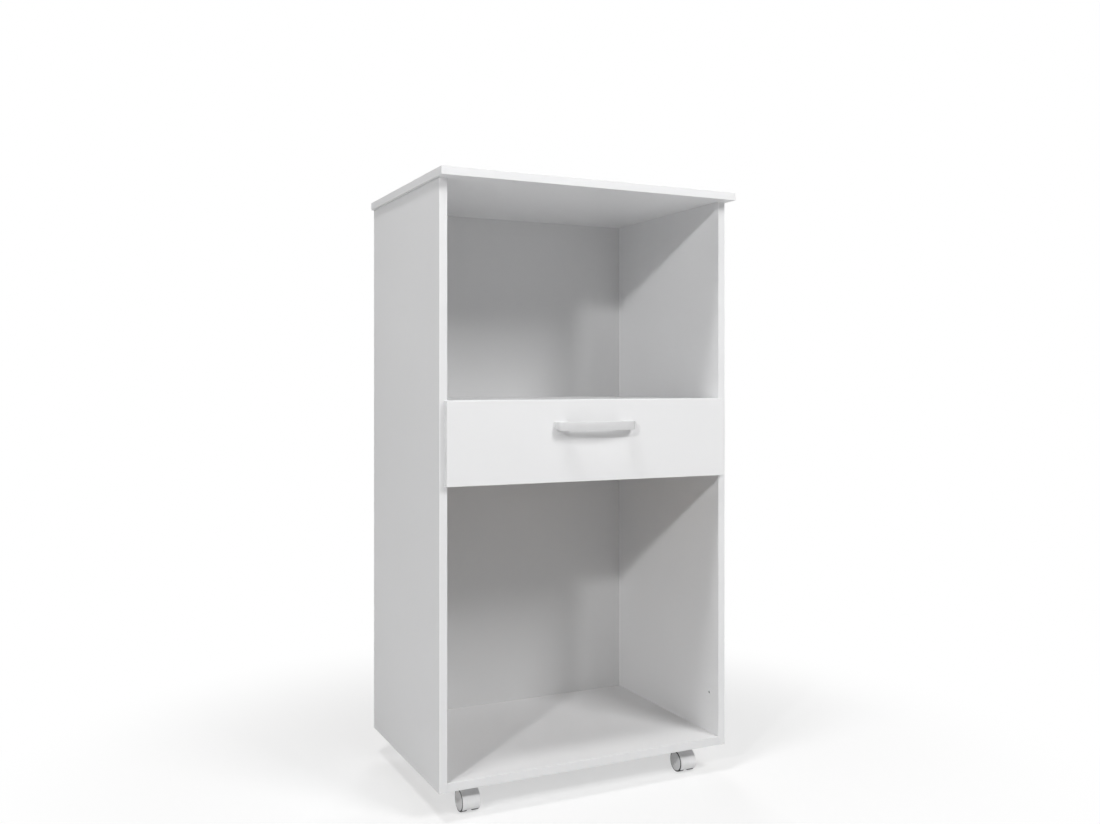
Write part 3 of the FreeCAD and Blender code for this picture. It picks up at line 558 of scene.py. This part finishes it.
axle_bore = 0.00255
axle_bore_end = 0.0139
groove_width = 0.0004
groove_depth = 0.0004
tread_round = 0.0012
edge_round = 0.00015


def wheel(radius):
    """One wheel about the Z axis with its outer face up: a domed disc with a hub cap, inside a tread."""
    def dome(reach):
        return wheel_face - wheel_dome * (reach / radius) ** 2

    def groove(reach):
        floor = dome(reach) - groove_depth
        end = reach + groove_width
        return [(reach, dome(reach)), (reach, floor), (end, floor), (end, dome(end))]

    outside = [
        (0.0, wheel_face), *groove(wheel_cap), *((reach, dome(reach)) for reach in dome_reaches),
        *groove(wheel_disc), (radius, dome(radius)), (radius, wheel_inner_face)]
    inside = [
        (wheel_rim_inside, wheel_inner_face), (wheel_rim_inside, wheel_web_face),
        (wheel_hub, wheel_web_face), (wheel_hub, wheel_inner_face),
        (axle_bore, wheel_inner_face), (axle_bore, axle_bore_end), (0.0, axle_bore_end)]
    mesh = bmesh.new()
    lathe(mesh, outside + inside, wheel_steps)
    corner_rings = [edge for edge in mesh.edges if edge.calc_face_angle(0) > math.radians(wheel_corner)]
    for rounding, at_tread in ((tread_round, True), (edge_round, False)):
        rings = [
            edge for edge in corner_rings
            if edge.is_valid and (math.hypot(*edge.verts[0].co.xy) > radius - doubles) == at_tread]
        bmesh.ops.bevel(
            mesh, geom=rings, offset=rounding, offset_type="OFFSET", segments=round_segments, profile=0.5,
            affect="EDGES", clamp_overlap=True, material=-1)
    for face in mesh.faces:
        middle = face.calc_center_median()
        face.material_index = int(math.hypot(middle.x, middle.y) > wheel_disc + groove_width)
    soften(mesh, wheel_crease)
    return mesh


corners = ("front_left", "front_right", "rear_left", "rear_right")
for corner in corners:
    dress(hood_finish, corner + "_caster_hood")
    dress(zinc_finish, corner + "_caster_plate", corner + "_caster_axle")
    for letter, side in (("a", -1), ("b", 1)):
        node = corner + "_caster_wheel_" + letter
        low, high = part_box(node)
        middle_x = (high.x if side > 0 else low.x) - side * wheel_face
        turned = Matrix.Rotation(side * math.tau / 4, 4, "Y")
        place = Matrix.Translation((middle_x, (low.y + high.y) / 2, (low.z + high.z) / 2))
        mesh = wheel((high.z - low.z) / 2)
        bmesh.ops.transform(mesh, matrix=place @ turned, verts=mesh.verts)
        name = corner + "_wheel_" + letter
        piece_from(name, mesh, [disc_finish, tread_finish], "caster_wheel", name, node)
dress(zinc_finish, "caster_kingpins")
plate_head_height = 0.0018
plate_reach = 0.016
plate_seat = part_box("caster_screws")[0].z + plate_head_height
plate_middles = [sum(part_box(corner + "_caster_plate"), Vector()) / 2 for corner in corners]
plate_screw = screw(
    head=0.0036, head_height=plate_head_height, thread=0.0019, length=0.014, countersunk=False)
screws("plate_screws", "caster_screws", "cabinet", plate_screw, [
    ((middle.x + x, middle.y + y, plate_seat), (0, 0, 1))
    for middle in plate_middles for x in (-plate_reach, plate_reach) for y in (-plate_reach, plate_reach)])


# ---- Floor, light and camera ----
# A plain white floor that keeps the soft shadow of the stand. A broad key light stands in front and a
# little to the right, a steep one and a small one on the left, and one behind lights the rear.
floor_reach = 8.0
floor_grey = (0.8, 0.8, 0.8)
floor_white = (1, 1, 1)
shadow_share = 0.45
clear_from = 0.35
clear_by = 1.15
floor_finish = Finish("studio_floor", Roughness=0.9, Specular_IOR_Level=0.1)


def plain_view(wiring):
    """Whether a ray comes from the camera, or from it by way of a glossy or a clear surface."""
    camera_ray, glossy_ray, clear_ray = (
        wiring.make("ShaderNodeLightPath", output=kind)
        for kind in ("Is Camera Ray", "Is Glossy Ray", "Is Transmission Ray"))
    return camera_ray.larger(glossy_ray).larger(clear_ray)


seen = plain_view(floor_finish)
away = floor_finish.make("ShaderNodeVectorMath", {"operation": "LENGTH"}, {0: floor_finish.place}, "Value")
clear = floor_finish.make(
    "ShaderNodeMapRange", {"interpolation_type": "SMOOTHSTEP"},
    {"Value": away, "From Min": clear_from, "From Max": clear_by, "To Min": 1.0 - shadow_share})
glow = floor_finish.make("ShaderNodeEmission", None, {"Color": (*floor_white, 1), "Strength": 1.0})
floor_finish.feed(floor_finish.shader, {"Base Color": floor_finish.mix(seen, floor_grey, floor_white)})
paper = Amount(floor_finish, floor_finish.shader.outputs["BSDF"])
floor_surface = floor_finish.make("ShaderNodeMixShader", None, {0: seen * clear, 1: paper, 2: glow})
floor_finish.feed(floor_finish.tree.nodes["Material Output"], {"Surface": floor_surface})
floor_mesh = bmesh.new()
bmesh.ops.create_grid(floor_mesh, x_segments=1, y_segments=1, size=floor_reach)
floor = bpy.data.objects.new("studio_floor", as_data("studio_floor", floor_mesh))
floor.data.materials.append(floor_finish.material)
bpy.context.scene.collection.objects.link(floor)

surround_level = 0.02
world = bpy.data.worlds.new("studio_surround")
world.use_nodes = True
bpy.context.scene.world = world
surround = Wiring(world.node_tree)
surround.feed(world.node_tree.nodes["Background"], {
    "Color": (*floor_white, 1),
    "Strength": surround_level + plain_view(surround) * (1.0 - surround_level),
})


lamp_aim = Vector((0, 0, 0.6))


def lamp(name, place, size, power):
    """A square area lamp that faces the middle of the stand."""
    light = bpy.data.lights.new(name, "AREA")
    light.shape = "SQUARE"
    light.size = size
    light.energy = power
    holder = bpy.data.objects.new(name, light)
    holder.location = place
    holder.rotation_euler = (lamp_aim - Vector(place)).to_track_quat("-Z", "Y").to_euler()
    bpy.context.scene.collection.objects.link(holder)


lamp("key_light", place=(1.282, -2.880, 3.063), size=1.2, power=83.0)
lamp("high_light", place=(-1.354, -0.782, 4.282), size=0.6, power=62.0)
lamp("left_light", place=(-3.064, -2.571, 2.151), size=0.2, power=50.0)
lamp("rear_light", place=(1.2, 3.3, 2.9), size=1.2, power=40.0)

camera_level = math.radians(90)
camera_turn = math.radians(-25.696)
camera_data = bpy.data.cameras.new("camera")
camera_data.sensor_width = 36.0
camera_data.lens = 34.771
camera_data.shift_y = -0.02574
camera = bpy.data.objects.new("camera", camera_data)
camera.location = (-0.9295, -1.9369, 0.7718)
camera.rotation_euler = (camera_level, 0, camera_turn)
bpy.context.scene.collection.objects.link(camera)
bpy.context.scene.camera = camera
bpy.context.scene.view_settings.view_transform = "Standard"
